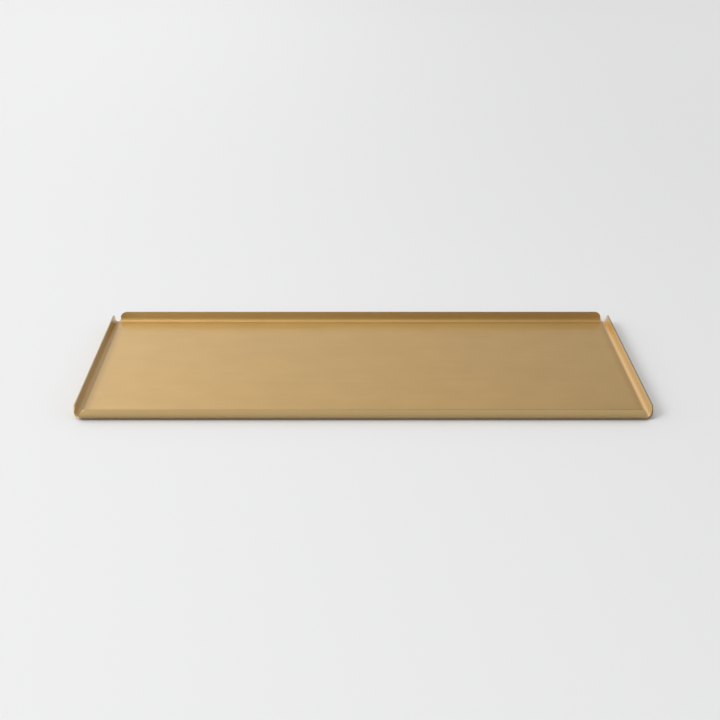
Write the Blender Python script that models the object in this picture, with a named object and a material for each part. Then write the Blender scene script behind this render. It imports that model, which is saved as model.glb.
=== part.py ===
"""Rectangular tray folded from one brass sheet, standing on four thin rubber pads.

The sheet starts as a flat blank: two crossed strips, whose notches, widely filleted at
their inner corner, leave the four lips apart. Each lip has rounded free corners. The
blank's cut edges are eased, and then every lip is rolled up about its own bend line. The
fillets reach past the bend lines, so that each corner of the plate is dished a little way
up between its lips. The sheet's middle layer keeps its length from the bend line to the
rim, so the bends have a true inside and outside radius.

Metres, +Z up. +X runs along the tray and +Y across it, away from the front lip.
The origin is at the middle of the tray, on the surface it stands on.
"""
import math

import bmesh
import bpy
from mathutils import Vector

# Sheet
TRAY_LENGTH = 0.500
TRAY_WIDTH = 0.250
LIP_HEIGHT = 0.0105
SHEET_THICKNESS = 0.0012
BEND_INSIDE_RADIUS = 0.0043
FOLD_ANGLE = math.radians(86.0)
LIP_CORNER_RADIUS = 0.006
NOTCH_RELIEF = 0.0003
NOTCH_FILLET = 0.0065
EDGE_EASING = 0.00025

# Pads
PAD_DIAMETER = 0.012
PAD_THICKNESS = 0.0006
PAD_EASING = 0.00015
PAD_MARGIN = 0.014
PAD_SEAT_CLEARANCE = 0.0003

# Facets
BEND_STEPS = 14
CORNER_STEPS = 8
FILLET_STEPS = 10
EASING_STEPS = 2
PAD_SIDES = 48
SMOOTH_BELOW = math.radians(20.0)

# Radii of the bend's outer face and of the sheet's middle layer
BEND_OUTSIDE_RADIUS = BEND_INSIDE_RADIUS + SHEET_THICKNESS
BEND_MIDDLE_RADIUS = BEND_INSIDE_RADIUS + SHEET_THICKNESS / 2

# The lip height runs from the plate's underside to the inner edge of the rim, its top.
# A lip lower than the full bend ends inside it, with no straight part.
FULL_BEND_RISE = BEND_OUTSIDE_RADIUS - BEND_INSIDE_RADIUS * math.cos(FOLD_ANGLE)
if LIP_HEIGHT > FULL_BEND_RISE:
    LIP_TURN = FOLD_ANGLE
    LIP_STRAIGHT = (LIP_HEIGHT - FULL_BEND_RISE) / math.sin(FOLD_ANGLE)
else:
    LIP_TURN = math.acos((BEND_OUTSIDE_RADIUS - LIP_HEIGHT) / BEND_INSIDE_RADIUS)
    LIP_STRAIGHT = 0.0

# How far the rim stands outside its bend line, and how long the lip is when flat
LIP_REACH = BEND_OUTSIDE_RADIUS * math.sin(LIP_TURN) + LIP_STRAIGHT * math.cos(LIP_TURN)
BEND_DEVELOPED = LIP_TURN * BEND_MIDDLE_RADIUS
LIP_DEVELOPED = BEND_DEVELOPED + LIP_STRAIGHT

# Bend lines, as distances from the middle of the tray
BEND_LINE_X = TRAY_LENGTH / 2 - LIP_REACH
BEND_LINE_Y = TRAY_WIDTH / 2 - LIP_REACH
PLATE_UNDERSIDE = PAD_THICKNESS + PAD_SEAT_CLEARANCE

SIDES = (
    (Vector((0, -1, 0)), BEND_LINE_Y, BEND_LINE_X),
    (Vector((1, 0, 0)), BEND_LINE_X, BEND_LINE_Y),
    (Vector((0, 1, 0)), BEND_LINE_Y, BEND_LINE_X),
    (Vector((-1, 0, 0)), BEND_LINE_X, BEND_LINE_Y),
)


def remove_scene_objects():
    for item in list(bpy.data.objects):
        bpy.data.objects.remove(item, do_unlink=True)


def principled(name, colour, roughness, metallic):
    material = bpy.data.materials.new(name)
    material.use_nodes = True
    shader = material.node_tree.nodes["Principled BSDF"]
    shader.inputs["Base Color"].default_value = (*colour, 1.0)
    shader.inputs["Roughness"].default_value = roughness
    shader.inputs["Metallic"].default_value = metallic
    return material


def add_object(name, mesh, material):
    if not mesh.materials:
        mesh.materials.append(material)
    item = bpy.data.objects.new(name, mesh)
    bpy.context.scene.collection.objects.link(item)
    return item


def finish_mesh(bm, name):
    """Writes the mesh, smooth on its bends and round corners and sharp on its easings."""
    bmesh.ops.recalc_face_normals(bm, faces=bm.faces)
    mesh = bpy.data.meshes.new(name)
    bm.to_mesh(mesh)
    bm.free()
    mesh.shade_smooth()
    mesh.set_sharp_from_angle(angle=SMOOTH_BELOW)
    return mesh


def quarter_arc(centre, radius, start, end, steps):
    """Points of a quarter circle, from the direction start to the direction end."""
    points = []
    for step in range(steps + 1):
        turned = math.pi / 2 * step / steps
        points.append(centre + radius * (math.cos(turned) * start + math.sin(turned) * end))
    return points


def lip_outline(outward, bend_line, neighbour_bend_line):
    """The blank's outline round one lip, with the fillet of the notch before it."""
    along = Vector((-outward.y, outward.x, 0))
    half_length = neighbour_bend_line - NOTCH_RELIEF
    rim = bend_line + LIP_DEVELOPED
    # The fillet and the lip's round corner share the lip's end between them
    lip_end = LIP_DEVELOPED + NOTCH_RELIEF
    fillet = min(NOTCH_FILLET, 0.6 * lip_end)
    notch = -(half_length + fillet) * along + (bend_line - NOTCH_RELIEF + fillet) * outward
    points = quarter_arc(notch, fillet, -outward, along, FILLET_STEPS)
    radius = min(LIP_CORNER_RADIUS, 0.98 * (lip_end - fillet), half_length)
    near = -(half_length - radius) * along + (rim - radius) * outward
    far = (half_length - radius) * along + (rim - radius) * outward
    points += quarter_arc(near, radius, -along, outward, CORNER_STEPS)
    points += quarter_arc(far, radius, outward, along, CORNER_STEPS)
    return points


def flat_blank():
    """The flat blank at its full thickness, its cut edges eased on both faces."""
    outline = []
    for outward, bend_line, neighbour_bend_line in SIDES:
        outline.extend(lip_outline(outward, bend_line, neighbour_bend_line))
    bm = bmesh.new()
    face = bm.faces.new([bm.verts.new(point) for point in outline])
    raised = bmesh.ops.extrude_face_region(bm, geom=[face], use_keep_orig=True)
    for item in raised["geom"]:
        if isinstance(item, bmesh.types.BMVert):
            item.co.z += SHEET_THICKNESS
    bmesh.ops.recalc_face_normals(bm, faces=bm.faces)
    cut_edges = [edge for edge in bm.edges if abs(edge.verts[0].co.z - edge.verts[1].co.z) < 1e-9]
    bmesh.ops.bevel(
        bm,
        geom=cut_edges,
        offset=EDGE_EASING,
        segments=EASING_STEPS,
        profile=0.5,
        affect="EDGES",
        clamp_overlap=False,
    )
    return bm


def score_bends(bm):
    """Cuts rows of edges across each lip, from its bend line to the end of its bend."""
    for outward, bend_line, _ in SIDES:
        for step in range(BEND_STEPS + 1):
            distance = bend_line + BEND_DEVELOPED * step / BEND_STEPS
            bmesh.ops.bisect_plane(
                bm,
                geom=list(bm.verts) + list(bm.edges) + list(bm.faces),
                dist=1e-7,
                plane_co=distance * outward,
                plane_no=outward,
            )


def fold(point):
    """Where a point of the flat blank lies once the lip or the corner that holds it is up."""
    foot = Vector((
        max(-BEND_LINE_X, min(BEND_LINE_X, point.x)),
        max(-BEND_LINE_Y, min(BEND_LINE_Y, point.y)),
        0,
    ))
    past = Vector((point.x, point.y, 0)) - foot
    beyond = past.length
    if beyond < 1e-9:
        return point.copy()
    turned = min(beyond / BEND_MIDDLE_RADIUS, LIP_TURN)
    straight = beyond - turned * BEND_MIDDLE_RADIUS
    radius = BEND_OUTSIDE_RADIUS - point.z
    out = radius * math.sin(turned) + straight * math.cos(turned)
    rise = BEND_OUTSIDE_RADIUS - radius * math.cos(turned) + straight * math.sin(turned)
    return foot + out / beyond * past + Vector((0, 0, rise))


def make_tray_sheet(material):
    bm = flat_blank()
    score_bends(bm)
    for vertex in bm.verts:
        vertex.co = fold(vertex.co)
    sheet = add_object("tray_sheet", finish_mesh(bm, "tray_sheet"), material)
    sheet.location.z = PLATE_UNDERSIDE
    return sheet


def pad_mesh():
    """A flat round pad with softened rims, centred on its own middle."""
    bm = bmesh.new()
    bmesh.ops.create_cone(
        bm,
        cap_ends=True,
        segments=PAD_SIDES,
        radius1=PAD_DIAMETER / 2,
        radius2=PAD_DIAMETER / 2,
        depth=PAD_THICKNESS,
    )
    rims = [edge for edge in bm.edges if abs(edge.verts[0].co.z - edge.verts[1].co.z) < 1e-9]
    bmesh.ops.bevel(
        bm,
        geom=rims,
        offset=PAD_EASING,
        segments=EASING_STEPS,
        profile=0.5,
        affect="EDGES",
        clamp_overlap=False,
    )
    return finish_mesh(bm, "pad")


def make_pads(material):
    """One pad under the plate near each corner, inside both bend lines."""
    mesh = pad_mesh()
    inset = PAD_MARGIN + PAD_DIAMETER / 2
    for across, side_y in (("front", -1), ("back", 1)):
        for along, side_x in (("left", -1), ("right", 1)):
            pad = add_object(f"pad_{across}_{along}", mesh, material)
            pad.location = (
                side_x * (BEND_LINE_X - inset),
                side_y * (BEND_LINE_Y - inset),
                PAD_THICKNESS / 2,
            )


remove_scene_objects()
make_tray_sheet(principled("satin_brass", (0.60, 0.43, 0.21), 0.42, 1.0))
make_pads(principled("pad_rubber", (0.035, 0.034, 0.033), 0.75, 0.0))
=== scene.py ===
"""Looks for the rectangular tray: a folded sheet of satin brass on four rubber pads.

The sheet is made again here with finer bends and edges, by the same construction as the
CAD model, because its grain follows the metal over the bends: every point keeps the place
that it had on the flat blank, and the materials read that place.

Metres, +Z up. +X runs along the tray and +Y across it, away from the front lip.
"""
import math

import bmesh
import bpy
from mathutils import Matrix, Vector


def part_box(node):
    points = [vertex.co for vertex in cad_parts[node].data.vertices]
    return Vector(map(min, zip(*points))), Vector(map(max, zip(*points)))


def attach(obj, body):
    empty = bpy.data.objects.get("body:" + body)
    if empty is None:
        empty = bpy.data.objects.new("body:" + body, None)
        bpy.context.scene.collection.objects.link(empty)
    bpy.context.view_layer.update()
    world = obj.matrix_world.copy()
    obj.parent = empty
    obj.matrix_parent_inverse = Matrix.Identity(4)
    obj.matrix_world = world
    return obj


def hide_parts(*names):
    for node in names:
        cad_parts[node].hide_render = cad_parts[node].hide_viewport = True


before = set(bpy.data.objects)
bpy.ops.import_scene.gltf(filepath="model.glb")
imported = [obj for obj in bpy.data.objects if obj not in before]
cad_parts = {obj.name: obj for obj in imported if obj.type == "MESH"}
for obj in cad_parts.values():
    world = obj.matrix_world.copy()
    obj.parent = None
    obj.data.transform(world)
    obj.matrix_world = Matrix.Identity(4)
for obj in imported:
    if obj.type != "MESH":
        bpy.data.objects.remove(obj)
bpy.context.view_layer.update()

# Sizes of the folded sheet that its box doesn't give
SHEET_THICKNESS = 0.0012
LIP_HEIGHT = 0.0105
BEND_INSIDE_RADIUS = 0.0043
FOLD_ANGLE = math.radians(86.0)
LIP_CORNER_RADIUS = 0.006
NOTCH_RELIEF = 0.0003
NOTCH_FILLET = 0.0065
EDGE_EASING = 0.00025
ROUND_EASING = 0.5

# The sheet's mesh: its fineness, and how close counts as the same
BEND_STEPS = 28
CORNER_STEPS = 20
FILLET_STEPS = 28
EASING_STEPS = 4
PLATE_MARGIN = 0.0012
FLAT_FACE_WEIGHT = 90
SAME_PLACE = 1e-9
SCORE_TOLERANCE = 1e-7

# Rubber pads
PAD_SIDES = 96
PAD_EASING = 0.00015
PAD_EASING_STEPS = 4
ADHESIVE_INSET = 0.0004

# Camera
CAMERA_SENSOR = 36.0
CAMERA_LENS = 72.75
CAMERA_SHIFT_X = 0.0199
CAMERA_PITCH_DOWN = math.radians(21.53)
CAMERA_PLACE = (-0.0152, -1.2683, 0.5082)

# Light: the studio glows a little from everywhere and more round some directions, given as
# (direction, sharpness, strength). One soft box stands far to the front left.
STUDIO_EVEN_GLOW = 0.2
STUDIO_GLOWS = (
    ((-1.0, 0.0, 0.35), 1.0, 0.96),
    ((1.0, 0.0, 0.35), 4.0, 0.92),
    ((0.0, 1.0, 0.3), 4.0, 0.155),
    ((0.4, 1.0, 0.2), 16.0, 0.17),
    ((-0.4, 1.0, 0.22), 120.0, 0.175),
    ((-0.4, 1.0, 0.45), 60.0, 0.91),
    ((-0.7, -1.0, 0.15), 16.0, 0.71),
    ((0.0, 0.35, 1.0), 16.0, 0.32),
    ((0.0, 0.25, 1.0), 120.0, 1.86),
    ((-0.3, -0.1, 1.0), 120.0, 5.23),
)
SOFT_BOX_PLACE = (-7.4, -5.3, 6.0)
SOFT_BOX_SIZE = 4.05
SOFT_BOX_POWER = 488.0

# Brass
BRASS_PALE = (0.716, 0.466, 0.158)
BRASS_DEEP = (0.643, 0.408, 0.130)
BRASS_RUBBED = (0.62, 0.49, 0.26)
BRASS_OUTER = (0.63, 0.455, 0.21)
OUTER_SHARE = 0.6
BRASS_ROUGHNESS = 0.49
BRASS_ANISOTROPY = 0.75
LACQUER_WEIGHT = 0.8
LACQUER_ROUGHNESS = 0.21

# Its grain, in layers of (length, width), finest first: hairs, strokes and bands. Clouds lie
# over them. The swings say how far each of the four moves the tone, the roughness and the relief.
GRAIN_SIZES = ((0.022, 0.00028), (0.050, 0.0012), (0.160, 0.0055))
GRAIN_DETAIL = 2.0
GRAIN_DEPTH = 0.0000016
GRAIN_FACE_STEP = 9000.0
CLOUD_SIZE = 0.030
CLOUD_DETAIL = 3.0
MIDDLE_TONE = 0.5
MIDDLE_OF_NOISE = 0.5
TONE_SWINGS = (0.5, 0.5, 0.6, 1.0)
ROUGHNESS_SWINGS = (0.10, 0.06, 0.05, 0.04)
RELIEF_SWINGS = (1.0, 0.7)

# Levels between the outer and inner face, as shares of the thickness, where one goes over to
# the other
INNER_FACE_LEVEL = 0.8
OUTER_FACE_LEVEL = 0.2

# Inside the tray, painted shade darkens the brass beside the bends and a painted highlight brightens
# it over the feet of the bends
SHADE_BESIDE_REACH = 0.0075
SHADE_BESIDE_END = 0.0012
SHADE_BESIDE_BENDS = 0.86
HIGHLIGHT_MIDDLE = 0.0022
HIGHLIGHT_END = 0.0050
BEND_PAINTED_HIGHLIGHT = 1.15

# Painted shade: the underside is darker, and the outer faces of the lips go over to it round their
# bends
UNDERSIDE_PAINTED_SHADE = 0.50
UNDER_SHADE_END = 0.001
UNDER_SHADE_START = 0.010

# Cut edges: how bright they are beside the faces, their shear marks, and the wear along them. Their
# darkness is partly duller cut metal and partly painted shade, and the end lips' edges carry painted
# light on the left and painted shade on the right
CUT_SIDE_DULL_AND_SHADE = 0.72
CUT_LEFT_PAINTED_LIGHT = 0.95
CUT_RIGHT_PAINTED_SHADE = 0.30
CUT_SHEAR_SWING = 0.25
CUT_WEAR_SWING = 0.0625
CUT_ROUGHNESS = 0.55
FACE_EDGE = 0.00001
SHEAR_MARK = 0.0003
SHEAR_DETAIL = 2.0
SHEAR_RELIEF = 4.0
WEAR_REACH = 0.0055
WEAR_PATCH = 0.012
WEAR_DETAIL = 3.0
WEAR_RANGE = (0.35, 0.70)
WEAR_LEAST = 0.6
WEAR_OUTSIDE = 0.4
WEAR_ROUGHNESS_STEP = -0.05

# Rubber
RUBBER_COLOUR = (0.030, 0.029, 0.028)
RUBBER_DUSTY = (0.075, 0.072, 0.068)
RUBBER_ROUGHNESS = 0.75
RUBBER_ROUGHNESS_SWING = 0.20
PEBBLE_SIZE = 0.00035
PEBBLE_DETAIL = 2.0
PEBBLE_DEPTH = 0.00002
DUST_SIZE = 0.003
DUST_DETAIL = 4.0
DUST_RANGE = (0.45, 0.80)
DUST_ROUGHNESS_STEP = 0.15

# Floor, with painted light: its tone falls slowly from left to right and rises far behind the tray, as
# the light falls off
FLOOR_SIZE = 120.0
FLOOR_PALE = (0.795, 0.795, 0.800)
FLOOR_DEEP = (0.779, 0.779, 0.784)
FLOOR_PAINTED_LIGHT_REACH = 0.6
FLOOR_PAINTED_LIGHT_LEFT_TO_RIGHT = (1.055, 0.92)
FLOOR_FAR_PAINTED_LIGHT_RANGE = (0.4, 2.3)
FLOOR_FAR_PAINTED_LIGHT = 1.045
FLOOR_ROUGHNESS = 0.85
PAPER_FIBRE = 0.0006
PAPER_DETAIL = 3.0

BLACK = (0.0, 0.0, 0.0)
WHITE = (1.0, 1.0, 1.0, 1.0)

# Numbers of the sockets for colours on a Mix node
MIX_FACTOR = 0
MIX_FIRST = 6
MIX_SECOND = 7
MIX_RESULT = 2

# The sheet's box gives its plan and how far it stands off the floor
SHEET_LOW, SHEET_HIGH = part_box("tray_sheet")
TRAY_LENGTH = SHEET_HIGH.x - SHEET_LOW.x
TRAY_WIDTH = SHEET_HIGH.y - SHEET_LOW.y
PLATE_UNDERSIDE = SHEET_LOW.z

BEND_OUTSIDE_RADIUS = BEND_INSIDE_RADIUS + SHEET_THICKNESS
BEND_MIDDLE_RADIUS = BEND_INSIDE_RADIUS + SHEET_THICKNESS / 2
FULL_BEND_RISE = BEND_OUTSIDE_RADIUS - BEND_INSIDE_RADIUS * math.cos(FOLD_ANGLE)
LIP_STRAIGHT = (LIP_HEIGHT - FULL_BEND_RISE) / math.sin(FOLD_ANGLE)
LIP_REACH = BEND_OUTSIDE_RADIUS * math.sin(FOLD_ANGLE) + LIP_STRAIGHT * math.cos(FOLD_ANGLE)
BEND_DEVELOPED = FOLD_ANGLE * BEND_MIDDLE_RADIUS
LIP_DEVELOPED = BEND_DEVELOPED + LIP_STRAIGHT
BEND_LINE_X = TRAY_LENGTH / 2 - LIP_REACH
BEND_LINE_Y = TRAY_WIDTH / 2 - LIP_REACH

SIDES = (
    (Vector((0, -1, 0)), BEND_LINE_Y, BEND_LINE_X),
    (Vector((1, 0, 0)), BEND_LINE_X, BEND_LINE_Y),
    (Vector((0, 1, 0)), BEND_LINE_Y, BEND_LINE_X),
    (Vector((-1, 0, 0)), BEND_LINE_X, BEND_LINE_Y),
)
BLANK_PLACE = "blank_place"


# Sheet

def quarter_arc(centre, radius, start, end, steps):
    """Points of a quarter circle, from the direction start to the direction end."""
    points = []
    for step in range(steps + 1):
        turned = math.pi / 2 * step / steps
        points.append(centre + radius * (math.cos(turned) * start + math.sin(turned) * end))
    return points


def lip_outline(outward, bend_line, neighbour_bend_line):
    """The blank's outline round one lip, with the fillet of the notch before it."""
    along = Vector((-outward.y, outward.x, 0))
    half_length = neighbour_bend_line - NOTCH_RELIEF
    rim = bend_line + LIP_DEVELOPED
    notch = -(half_length + NOTCH_FILLET) * along + (bend_line - NOTCH_RELIEF + NOTCH_FILLET) * outward
    points = quarter_arc(notch, NOTCH_FILLET, -outward, along, FILLET_STEPS)
    near = -(half_length - LIP_CORNER_RADIUS) * along + (rim - LIP_CORNER_RADIUS) * outward
    far = (half_length - LIP_CORNER_RADIUS) * along + (rim - LIP_CORNER_RADIUS) * outward
    points += quarter_arc(near, LIP_CORNER_RADIUS, -along, outward, CORNER_STEPS)
    points += quarter_arc(far, LIP_CORNER_RADIUS, outward, along, CORNER_STEPS)
    return points


def flat_blank():
    """The flat blank at its full thickness, its cut edges eased on both faces."""
    outline = []
    for outward, bend_line, neighbour_bend_line in SIDES:
        outline.extend(lip_outline(outward, bend_line, neighbour_bend_line))
    bm = bmesh.new()
    face = bm.faces.new([bm.verts.new(point) for point in outline])
    raised = bmesh.ops.extrude_face_region(bm, geom=[face], use_keep_orig=True)
    for item in raised["geom"]:
        if isinstance(item, bmesh.types.BMVert):
            item.co.z += SHEET_THICKNESS
    bmesh.ops.recalc_face_normals(bm, faces=bm.faces)
    cut_edges = []
    for edge in bm.edges:
        first, second = edge.verts
        if abs(first.co.z - second.co.z) < SAME_PLACE:
            cut_edges.append(edge)
    bmesh.ops.bevel(
        bm,
        geom=cut_edges,
        offset=EDGE_EASING,
        segments=EASING_STEPS,
        profile=ROUND_EASING,
        affect="EDGES",
        clamp_overlap=False,
    )
    return bm


def score(bm, outward, distance):
    """Cuts a row of edges straight across the blank."""
    bmesh.ops.bisect_plane(
        bm,
        geom=list(bm.verts) + list(bm.edges) + list(bm.faces),
        dist=SCORE_TOLERANCE,
        plane_co=distance * outward,
        plane_no=outward,
    )


def fold(point):
    """Where a point of the flat blank lies once the lip or the corner that holds it is up."""
    foot = Vector((
        max(-BEND_LINE_X, min(BEND_LINE_X, point.x)),
        max(-BEND_LINE_Y, min(BEND_LINE_Y, point.y)),
        0,
    ))
    past = Vector((point.x, point.y, 0)) - foot
    beyond = past.length
    if beyond < SAME_PLACE:
        return point.copy()
    turned = min(beyond / BEND_MIDDLE_RADIUS, FOLD_ANGLE)
    straight = beyond - turned * BEND_MIDDLE_RADIUS
    radius = BEND_OUTSIDE_RADIUS - point.z
    out = radius * math.sin(turned) + straight * math.cos(turned)
    rise = BEND_OUTSIDE_RADIUS - radius * math.cos(turned) + straight * math.sin(turned)
    return foot + out / beyond * past + Vector((0, 0, rise))


def add_piece(name, mesh, *materials):
    for material in materials:
        mesh.materials.append(material)
    piece = bpy.data.objects.new(name, mesh)
    bpy.context.scene.collection.objects.link(piece)
    return piece


def make_sheet(material):
    bm = flat_blank()
    for outward, bend_line, _ in SIDES:
        score(bm, outward, bend_line - PLATE_MARGIN)
        for step in range(BEND_STEPS + 1):
            score(bm, outward, bend_line + BEND_DEVELOPED * step / BEND_STEPS)
    blank_place = bm.verts.layers.float_vector.new(BLANK_PLACE)
    for vertex in bm.verts:
        vertex[blank_place] = vertex.co
        vertex.co = fold(vertex.co) + Vector((0, 0, PLATE_UNDERSIDE))
    bmesh.ops.recalc_face_normals(bm, faces=bm.faces)
    mesh = bpy.data.meshes.new("brass_sheet")
    bm.to_mesh(mesh)
    bm.free()
    mesh.shade_smooth()
    sheet = add_piece("brass_sheet", mesh, material)
    weighted = sheet.modifiers.new("flat_faces_stay_flat", "WEIGHTED_NORMAL")
    weighted.weight = FLAT_FACE_WEIGHT
    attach(sheet, "root")
    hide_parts("tray_sheet")


# Pads

def turned_mesh(name, profile, sides):
    """A closed solid turned about the Z axis from (radius, height) points, its ends on the axis."""
    bm = bmesh.new()
    rings = []
    for radius, height in profile:
        ring = []
        for side in range(sides):
            angle = 2 * math.pi * side / sides
            ring.append(bm.verts.new((radius * math.cos(angle), radius * math.sin(angle), height)))
        rings.append(ring)
    bm.faces.new(rings[0])
    bm.faces.new(rings[-1])
    for lower, upper in zip(rings, rings[1:]):
        for side in range(sides):
            after = (side + 1) % sides
            bm.faces.new((lower[side], lower[after], upper[after], upper[side]))
    bmesh.ops.recalc_face_normals(bm, faces=bm.faces)
    mesh = bpy.data.meshes.new(name)
    bm.to_mesh(mesh)
    bm.free()
    mesh.shade_smooth()
    return mesh


def make_pads(material):
    """A rubber disc with soft rims, and the thin adhesive disc that holds it to the sheet."""
    for node in sorted(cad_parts):
        if not node.startswith("pad_"):
            continue
        low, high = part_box(node)
        radius = (high.x - low.x) / 2
        top = high.z - low.z
        profile = []
        for start, height in ((-math.pi / 2, PAD_EASING), (0.0, top - PAD_EASING)):
            for step in range(PAD_EASING_STEPS + 1):
                angle = start + math.pi / 2 * step / PAD_EASING_STEPS
                profile.append((
                    radius - PAD_EASING + PAD_EASING * math.cos(angle),
                    height + PAD_EASING * math.sin(angle),
                ))
        profile.append((radius - ADHESIVE_INSET, top))
        profile.append((radius - ADHESIVE_INSET, PLATE_UNDERSIDE - low.z))
        name = "rubber_" + node
        pad = add_piece(name, turned_mesh(name, profile, PAD_SIDES), material)
        pad.location = ((low.x + high.x) / 2, (low.y + high.y) / 2, low.z)
        weighted = pad.modifiers.new("flat_faces_stay_flat", "WEIGHTED_NORMAL")
        weighted.weight = FLAT_FACE_WEIGHT
        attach(pad, "root")
        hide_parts(node)


# Materials

def new_material(name):
    material = bpy.data.materials.new(name)
    material.use_nodes = True
    tree = material.node_tree
    return material, tree, tree.nodes["Principled BSDF"]


def feed(tree, value, socket):
    """Links an output to a socket, or writes a plain value in it."""
    if isinstance(value, bpy.types.NodeSocket):
        tree.links.new(value, socket)
    else:
        socket.default_value = value


def calc(tree, operation, *values):
    node = tree.nodes.new("ShaderNodeMath")
    node.operation = operation
    for value, socket in zip(values, node.inputs):
        feed(tree, value, socket)
    return node.outputs[0]


def ramp(tree, value, low, high):
    """Goes smoothly from 0 at low to 1 at high, where low may be the greater one."""
    node = tree.nodes.new("ShaderNodeMapRange")
    node.interpolation_type = "SMOOTHSTEP"
    feed(tree, value, node.inputs["Value"])
    node.inputs["From Min"].default_value = low
    node.inputs["From Max"].default_value = high
    return node.outputs["Result"]


def between(tree, factor, first, second):
    """A number that goes from first to second as the factor goes from 0 to 1."""
    node = tree.nodes.new("ShaderNodeMapRange")
    node.clamp = False
    feed(tree, factor, node.inputs["Value"])
    feed(tree, first, node.inputs["To Min"])
    feed(tree, second, node.inputs["To Max"])
    return node.outputs["Result"]


def tinted(tree, factor, first, second):
    """A colour that goes from first to second as the factor goes from 0 to 1, and on past them."""
    node = tree.nodes.new("ShaderNodeMix")
    node.data_type = "RGBA"
    node.clamp_factor = False
    for value, socket in ((factor, MIX_FACTOR), (first, MIX_FIRST), (second, MIX_SECOND)):
        if isinstance(value, tuple):
            value = (*value, 1.0)
        feed(tree, value, node.inputs[socket])
    return node.outputs[MIX_RESULT]


def vector(tree, x, y, z):
    node = tree.nodes.new("ShaderNodeCombineXYZ")
    for value, socket in zip((x, y, z), node.inputs):
        feed(tree, value, socket)
    return node.outputs["Vector"]


def scaled(tree, size, *parts):
    """Each part of a place, in units of one size."""
    return [calc(tree, "DIVIDE", part, size) for part in parts]


def noise(tree, place, detail):
    """Noise about 0.5, with features about one unit of the place apart."""
    node = tree.nodes.new("ShaderNodeTexNoise")
    tree.links.new(place, node.inputs["Vector"])
    node.inputs["Scale"].default_value = 1.0
    node.inputs["Detail"].default_value = detail
    return node.outputs["Fac"]


def swing(tree, *parts):
    """A sum of noises about 0.5, each times its own strength, which is about zero itself."""
    total = 0.0
    for value, strength in parts:
        centred = calc(tree, "SUBTRACT", value, MIDDLE_OF_NOISE)
        total = calc(tree, "MULTIPLY_ADD", centred, strength, total)
    return total


def bump(tree, height, depth):
    node = tree.nodes.new("ShaderNodeBump")
    node.inputs["Strength"].default_value = 1.0
    node.inputs["Distance"].default_value = depth
    tree.links.new(height, node.inputs["Height"])
    return node.outputs["Normal"]


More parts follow.
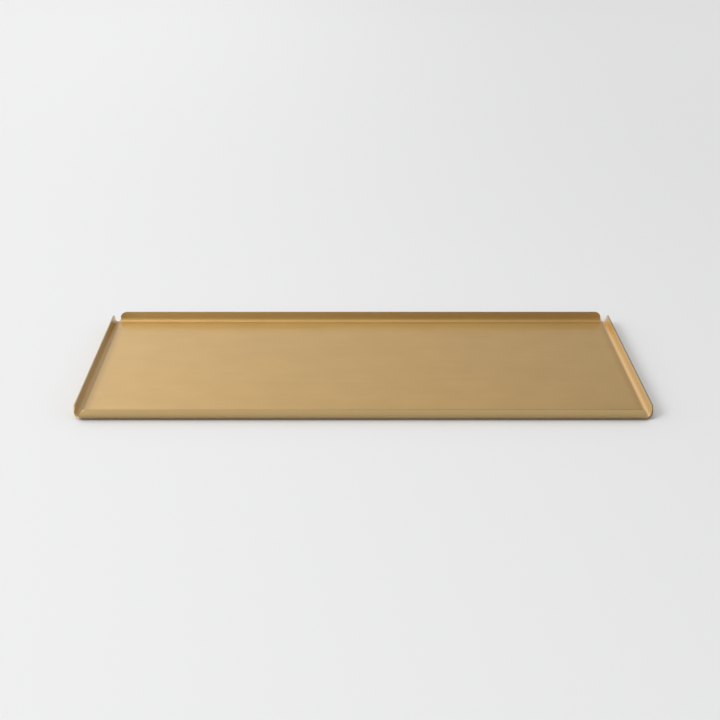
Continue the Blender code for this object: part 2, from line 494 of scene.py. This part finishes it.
def satin_brass():
    """Brushed brass. It reads the place on the flat blank, so that the grain follows the metal."""
    material, tree, shader = new_material("satin_brass")
    attribute = tree.nodes.new("ShaderNodeAttribute")
    attribute.attribute_name = BLANK_PLACE
    split = tree.nodes.new("ShaderNodeSeparateXYZ")
    tree.links.new(attribute.outputs["Vector"], split.inputs["Vector"])
    x, y, z = split.outputs

    # Where the point is: past which bend line and how far, on which face, near a rim or a bend
    size_x = calc(tree, "ABSOLUTE", x)
    size_y = calc(tree, "ABSOLUTE", y)
    past_end = calc(tree, "SUBTRACT", size_x, BEND_LINE_X)
    past_side = calc(tree, "SUBTRACT", size_y, BEND_LINE_Y)
    past = calc(tree, "MAXIMUM", past_end, past_side)
    on_end = calc(tree, "GREATER_THAN", past_end, 0.0)
    half_thickness = SHEET_THICKNESS / 2
    from_middle = calc(tree, "ABSOLUTE", calc(tree, "SUBTRACT", z, half_thickness))
    on_cut = ramp(tree, from_middle, half_thickness - FACE_EDGE, half_thickness - EDGE_EASING)
    near_rim = ramp(tree, past, LIP_DEVELOPED - WEAR_REACH, LIP_DEVELOPED)
    depth = calc(tree, "DIVIDE", z, SHEET_THICKNESS)
    outer_face = ramp(tree, depth, INNER_FACE_LEVEL, OUTER_FACE_LEVEL)
    # Painted shade on the underside, reaching round the outer bends of the lips
    painted_underside_shade = calc(tree, "MULTIPLY", outer_face, ramp(tree, past, UNDER_SHADE_START, UNDER_SHADE_END))
    inner_face = calc(tree, "SUBTRACT", 1.0, outer_face)
    # Painted shade on the inner face, beside the bends
    shade_beside_in = ramp(tree, past, -SHADE_BESIDE_REACH, 0.0)
    shade_beside_out = ramp(tree, past, SHADE_BESIDE_END, 0.0)
    painted_shade_beside_bends = calc(tree, "MULTIPLY", inner_face, calc(tree, "MULTIPLY", shade_beside_in, shade_beside_out))
    # Painted highlight: the brass is brighter over the feet of the bends on the inner face
    highlight_in = ramp(tree, past, 0.0, HIGHLIGHT_MIDDLE)
    highlight_out = ramp(tree, past, HIGHLIGHT_END, HIGHLIGHT_MIDDLE)
    foot = calc(tree, "MULTIPLY", inner_face, calc(tree, "MULTIPLY", highlight_in, highlight_out))

    # The grain runs along X on the plate and the long lips, and along Y on the end lips
    along = between(tree, on_end, x, y)
    across = between(tree, on_end, y, x)
    face = calc(tree, "MULTIPLY", z, GRAIN_FACE_STEP)
    grain = []
    for length, width in GRAIN_SIZES:
        place = vector(
            tree,
            calc(tree, "DIVIDE", along, length),
            calc(tree, "DIVIDE", across, width),
            calc(tree, "ADD", face, on_end),
        )
        grain.append(noise(tree, place, GRAIN_DETAIL))
    cloud_place = vector(tree, *scaled(tree, CLOUD_SIZE, x, y), face)
    grain.append(noise(tree, cloud_place, CLOUD_DETAIL))

    # Shear marks run across the cut edges, and handling has worn them in places
    shear_place = vector(tree, *scaled(tree, SHEAR_MARK, x, y), depth)
    shear = noise(tree, shear_place, SHEAR_DETAIL)
    wear_place = vector(tree, *scaled(tree, WEAR_PATCH, x, y), depth)
    wear = ramp(tree, noise(tree, wear_place, WEAR_DETAIL), *WEAR_RANGE)
    rubbed = calc(tree, "MULTIPLY", near_rim, between(tree, wear, WEAR_LEAST, 1.0))
    rubbed = calc(tree, "MULTIPLY", rubbed, between(tree, outer_face, 1.0, WEAR_OUTSIDE))

    # Colour
    tone = calc(tree, "ADD", swing(tree, *zip(grain, TONE_SWINGS)), MIDDLE_TONE)
    brass = tinted(tree, tone, BRASS_DEEP, BRASS_PALE)
    brass = tinted(tree, calc(tree, "MULTIPLY", outer_face, OUTER_SHARE), brass, BRASS_OUTER)
    brass = tinted(tree, rubbed, brass, BRASS_RUBBED)
    # Painted light and shade: the cut edges of the left end lip stay bright, those of the right end
    # lip go dark, and those of the long lips are darkened partly as duller metal and partly as painted
    # shade
    on_right = calc(tree, "GREATER_THAN", x, 0.0)
    end_painted_light_and_shade = between(tree, on_right, CUT_LEFT_PAINTED_LIGHT, CUT_RIGHT_PAINTED_SHADE)
    wear_and_painted_light = between(tree, on_end, CUT_SIDE_DULL_AND_SHADE, end_painted_light_and_shade)
    uneven = swing(tree, (shear, CUT_SHEAR_SWING), (wear, CUT_WEAR_SWING))
    wear_and_painted_light = calc(tree, "ADD", wear_and_painted_light, uneven)
    wear_and_painted_light = between(tree, on_cut, 1.0, wear_and_painted_light)
    # Painted shade darkens the underside
    wear_and_painted_light = calc(tree, "MULTIPLY", wear_and_painted_light, between(tree, painted_underside_shade, 1.0, UNDERSIDE_PAINTED_SHADE))
    # Painted shade beside the bends
    wear_and_painted_light = calc(tree, "MULTIPLY", wear_and_painted_light, between(tree, painted_shade_beside_bends, 1.0, SHADE_BESIDE_BENDS))
    # Painted highlight over the feet of the bends
    wear_and_painted_light = calc(tree, "MULTIPLY", wear_and_painted_light, between(tree, foot, 1.0, BEND_PAINTED_HIGHLIGHT))
    feed(tree, tinted(tree, wear_and_painted_light, BLACK, brass), shader.inputs["Base Color"])

    # Gloss
    shader.inputs["Metallic"].default_value = 1.0
    shader.inputs["Anisotropic"].default_value = BRASS_ANISOTROPY
    shader.inputs["Coat Weight"].default_value = LACQUER_WEIGHT
    shader.inputs["Coat Roughness"].default_value = LACQUER_ROUGHNESS
    rough = calc(tree, "ADD", swing(tree, *zip(grain, ROUGHNESS_SWINGS)), BRASS_ROUGHNESS)
    rough = calc(tree, "MULTIPLY_ADD", rubbed, WEAR_ROUGHNESS_STEP, rough)
    rough = between(tree, on_cut, rough, CUT_ROUGHNESS)
    feed(tree, rough, shader.inputs["Roughness"])
    off_end = calc(tree, "SUBTRACT", 1.0, on_end)
    feed(tree, vector(tree, on_end, off_end, 0.0), shader.inputs["Tangent"])

    # Relief
    height = swing(tree, *zip(grain, RELIEF_SWINGS))
    height = between(tree, on_cut, height, swing(tree, (shear, SHEAR_RELIEF)))
    feed(tree, bump(tree, height, GRAIN_DEPTH), shader.inputs["Normal"])
    return material


def pad_rubber():
    """Dark moulded rubber with a fine pebbled skin and some dust on it."""
    material, tree, shader = new_material("pad_rubber")
    coordinates = tree.nodes.new("ShaderNodeTexCoord")
    split = tree.nodes.new("ShaderNodeSeparateXYZ")
    tree.links.new(coordinates.outputs["Object"], split.inputs["Vector"])
    pebble_place = vector(tree, *scaled(tree, PEBBLE_SIZE, *split.outputs))
    pebbles = noise(tree, pebble_place, PEBBLE_DETAIL)
    dust_place = vector(tree, *scaled(tree, DUST_SIZE, *split.outputs))
    dust = ramp(tree, noise(tree, dust_place, DUST_DETAIL), *DUST_RANGE)
    feed(tree, tinted(tree, dust, RUBBER_COLOUR, RUBBER_DUSTY), shader.inputs["Base Color"])
    rough = calc(tree, "ADD", swing(tree, (pebbles, RUBBER_ROUGHNESS_SWING)), RUBBER_ROUGHNESS)
    rough = calc(tree, "MULTIPLY_ADD", dust, DUST_ROUGHNESS_STEP, rough)
    feed(tree, rough, shader.inputs["Roughness"])
    feed(tree, bump(tree, pebbles, PEBBLE_DEPTH), shader.inputs["Normal"])
    return material


def floor_paper():
    """Matt studio paper: nearly one tone, with a faint fibre in its surface, and painted light that
    brightens it on the left and far behind the tray.
    """
    material, tree, shader = new_material("floor_paper")
    coordinates = tree.nodes.new("ShaderNodeTexCoord")
    split = tree.nodes.new("ShaderNodeSeparateXYZ")
    tree.links.new(coordinates.outputs["Object"], split.inputs["Vector"])
    x, y, _ = split.outputs
    place = vector(tree, *scaled(tree, PAPER_FIBRE, x, y), 0.0)
    fibre = noise(tree, place, PAPER_DETAIL)
    # Painted light: brighter on the left, darker on the right, and brighter far behind the tray
    tone = between(tree, ramp(tree, x, -FLOOR_PAINTED_LIGHT_REACH, FLOOR_PAINTED_LIGHT_REACH), *FLOOR_PAINTED_LIGHT_LEFT_TO_RIGHT)
    far = ramp(tree, y, *FLOOR_FAR_PAINTED_LIGHT_RANGE)
    tone = calc(tree, "MULTIPLY", tone, between(tree, far, 1.0, FLOOR_FAR_PAINTED_LIGHT))
    paper = tinted(tree, fibre, FLOOR_DEEP, FLOOR_PALE)
    feed(tree, tinted(tree, tone, BLACK, paper), shader.inputs["Base Color"])
    shader.inputs["Roughness"].default_value = FLOOR_ROUGHNESS
    shader.inputs["Specular IOR Level"].default_value = 0.0
    return material


# Floor, light and camera

def make_floor(material):
    bm = bmesh.new()
    bmesh.ops.create_grid(bm, x_segments=1, y_segments=1, size=FLOOR_SIZE / 2)
    mesh = bpy.data.meshes.new("floor")
    bm.to_mesh(mesh)
    bm.free()
    floor = add_piece("floor", mesh, material)


def make_world():
    """A studio that glows more on its bright sides, and that the metal mirrors as it is."""
    world = bpy.data.worlds.new("studio")
    bpy.context.scene.world = world
    world.use_nodes = True
    tree = world.node_tree
    coordinates = tree.nodes.new("ShaderNodeTexCoord")
    total = STUDIO_EVEN_GLOW
    for direction, sharpness, strength in STUDIO_GLOWS:
        facing = tree.nodes.new("ShaderNodeVectorMath")
        facing.operation = "DOT_PRODUCT"
        feed(tree, coordinates.outputs["Generated"], facing.inputs[0])
        feed(tree, Vector(direction).normalized(), facing.inputs[1])
        glow = calc(tree, "MAXIMUM", facing.outputs["Value"], 0.0)
        glow = calc(tree, "POWER", glow, sharpness)
        total = calc(tree, "MULTIPLY_ADD", glow, strength, total)
    light = tree.nodes["Background"]
    light.inputs["Color"].default_value = WHITE
    feed(tree, total, light.inputs["Strength"])


def make_soft_box():
    """A square light that faces the tray and stays out of the camera's view."""
    light = bpy.data.lights.new("soft_box", "AREA")
    light.shape = "SQUARE"
    light.size = SOFT_BOX_SIZE
    light.energy = SOFT_BOX_POWER
    box = bpy.data.objects.new("soft_box", light)
    box.location = SOFT_BOX_PLACE
    box.rotation_euler = (-Vector(SOFT_BOX_PLACE)).to_track_quat("-Z", "Y").to_euler()
    box.visible_camera = False
    bpy.context.scene.collection.objects.link(box)


def make_camera():
    camera = bpy.data.objects.new("camera", bpy.data.cameras.new("camera"))
    camera.data.lens = CAMERA_LENS
    camera.data.sensor_width = CAMERA_SENSOR
    camera.data.shift_x = CAMERA_SHIFT_X
    camera.location = CAMERA_PLACE
    camera.rotation_euler = (math.pi / 2 - CAMERA_PITCH_DOWN, 0, 0)
    bpy.context.scene.collection.objects.link(camera)
    bpy.context.scene.camera = camera


make_camera()
make_sheet(satin_brass())
make_pads(pad_rubber())
make_floor(floor_paper())
make_world()
make_soft_box()
bpy.context.scene.view_settings.view_transform = "Standard"
